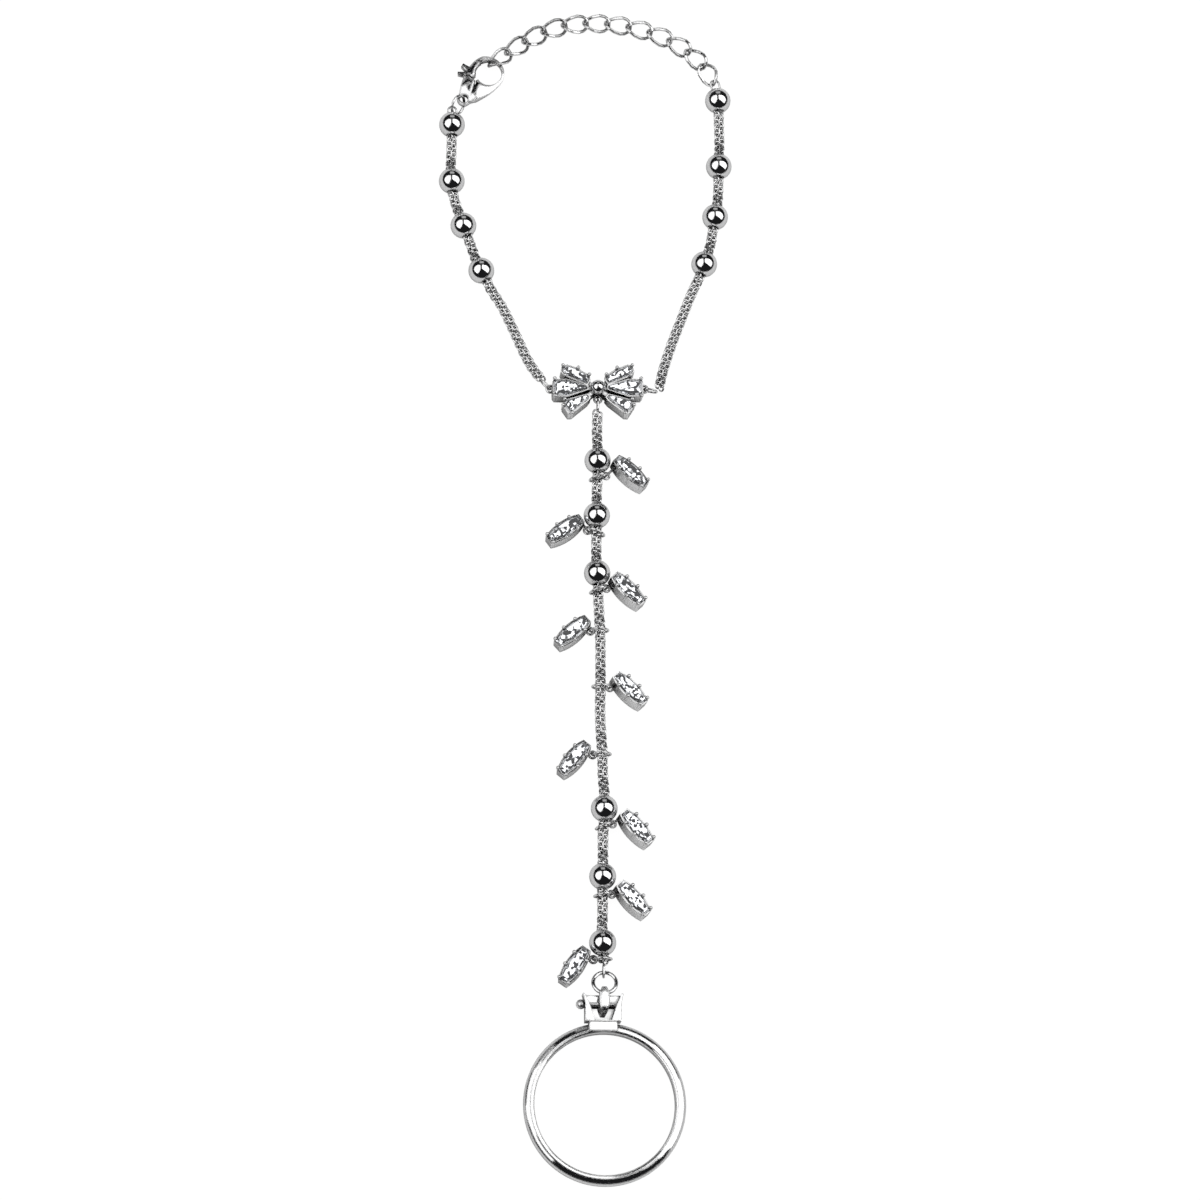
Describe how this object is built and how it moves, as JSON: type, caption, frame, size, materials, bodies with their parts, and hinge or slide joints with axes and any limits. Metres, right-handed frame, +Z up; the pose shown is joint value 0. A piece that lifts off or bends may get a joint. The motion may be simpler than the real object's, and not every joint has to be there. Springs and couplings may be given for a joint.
{
  "type": "hand chain bracelet",
  "caption": "Silver-tone finger ring joined by a strand of bead and clear stone leaf drops to a stone bow and a beaded chain bracelet with lobster clasp and extender, laid flat.",
  "frame": {"origin": "middle of the laid-out piece's outline, on the surface that it lies on", "axes": "+Y from the finger ring along the strand to the wrist chains' closure, +X to the right seen from above, +Z up from the surface"},
  "size_m": [0.0387, 0.156, 0.0034],
  "materials": {
    "polished_metal": "mirror-polished rhodium plate",
    "bead_metal": "mirror-polished plated beads",
    "chain_metal": "bright plated fine chain",
    "clear_stone": "clear faceted stone"
  },
  "bodies": {
    "bracelet": {"finger_ring": "polished_metal", "bail_link": "polished_metal", "strand_ring": "polished_metal", "strand_chain": "chain_metal", "left_chain": "chain_metal", "right_chain": "chain_metal", "left_bead_1": "bead_metal", "left_bead_2": "bead_metal", "left_bead_3": "bead_metal", "left_bead_4": "bead_metal", "right_bead_1": "bead_metal", "right_bead_2": "bead_metal", "right_bead_3": "bead_metal", "right_bead_4": "bead_metal", "strand_bead_1": "bead_metal", "strand_bead_2": "bead_metal", "strand_bead_3": "bead_metal", "strand_bead_4": "bead_metal", "strand_bead_5": "bead_metal", "strand_bead_6": "bead_metal", "leaf_setting_1": "polished_metal", "leaf_setting_2": "polished_metal", "leaf_setting_3": "polished_metal", "leaf_setting_4": "polished_metal", "leaf_setting_5": "polished_metal", "leaf_setting_6": "polished_metal", "leaf_setting_7": "polished_metal", "leaf_setting_8": "polished_metal", "leaf_setting_9": "polished_metal", "leaf_stone_1": "clear_stone", "leaf_stone_2": "clear_stone", "leaf_stone_3": "clear_stone", "leaf_stone_4": "clear_stone", "leaf_stone_5": "clear_stone", "leaf_stone_6": "clear_stone", "leaf_stone_7": "clear_stone", "leaf_stone_8": "clear_stone", "leaf_stone_9": "clear_stone", "leaf_ring_1": "polished_metal", "leaf_ring_2": "polished_metal", "leaf_ring_3": "polished_metal", "leaf_ring_4": "polished_metal", "leaf_ring_5": "polished_metal", "leaf_ring_6": "polished_metal", "leaf_ring_7": "polished_metal", "leaf_ring_8": "polished_metal", "leaf_ring_9": "polished_metal", "bow_setting": "polished_metal", "bow_stone_1": "clear_stone", "bow_stone_2": "clear_stone", "bow_stone_3": "clear_stone", "bow_stone_4": "clear_stone", "bow_stone_5": "clear_stone", "bow_stone_6": "clear_stone", "clasp_body": "polished_metal", "clasp_ring": "polished_metal", "extender_chain": "polished_metal"},
    "clasp_lever": {"clasp_lever": "polished_metal"}
  },
  "joints": [
    {"name": "clasp_lever_hinge", "type": "hinge", "parent": "bracelet", "child": "clasp_lever", "pos_m": [-0.01569, 0.0674, 0.00095], "axis": [0, 0, -1], "range_deg": [0, 24], "stiffness_Nm_per_rad": 0.0005}
  ]
}
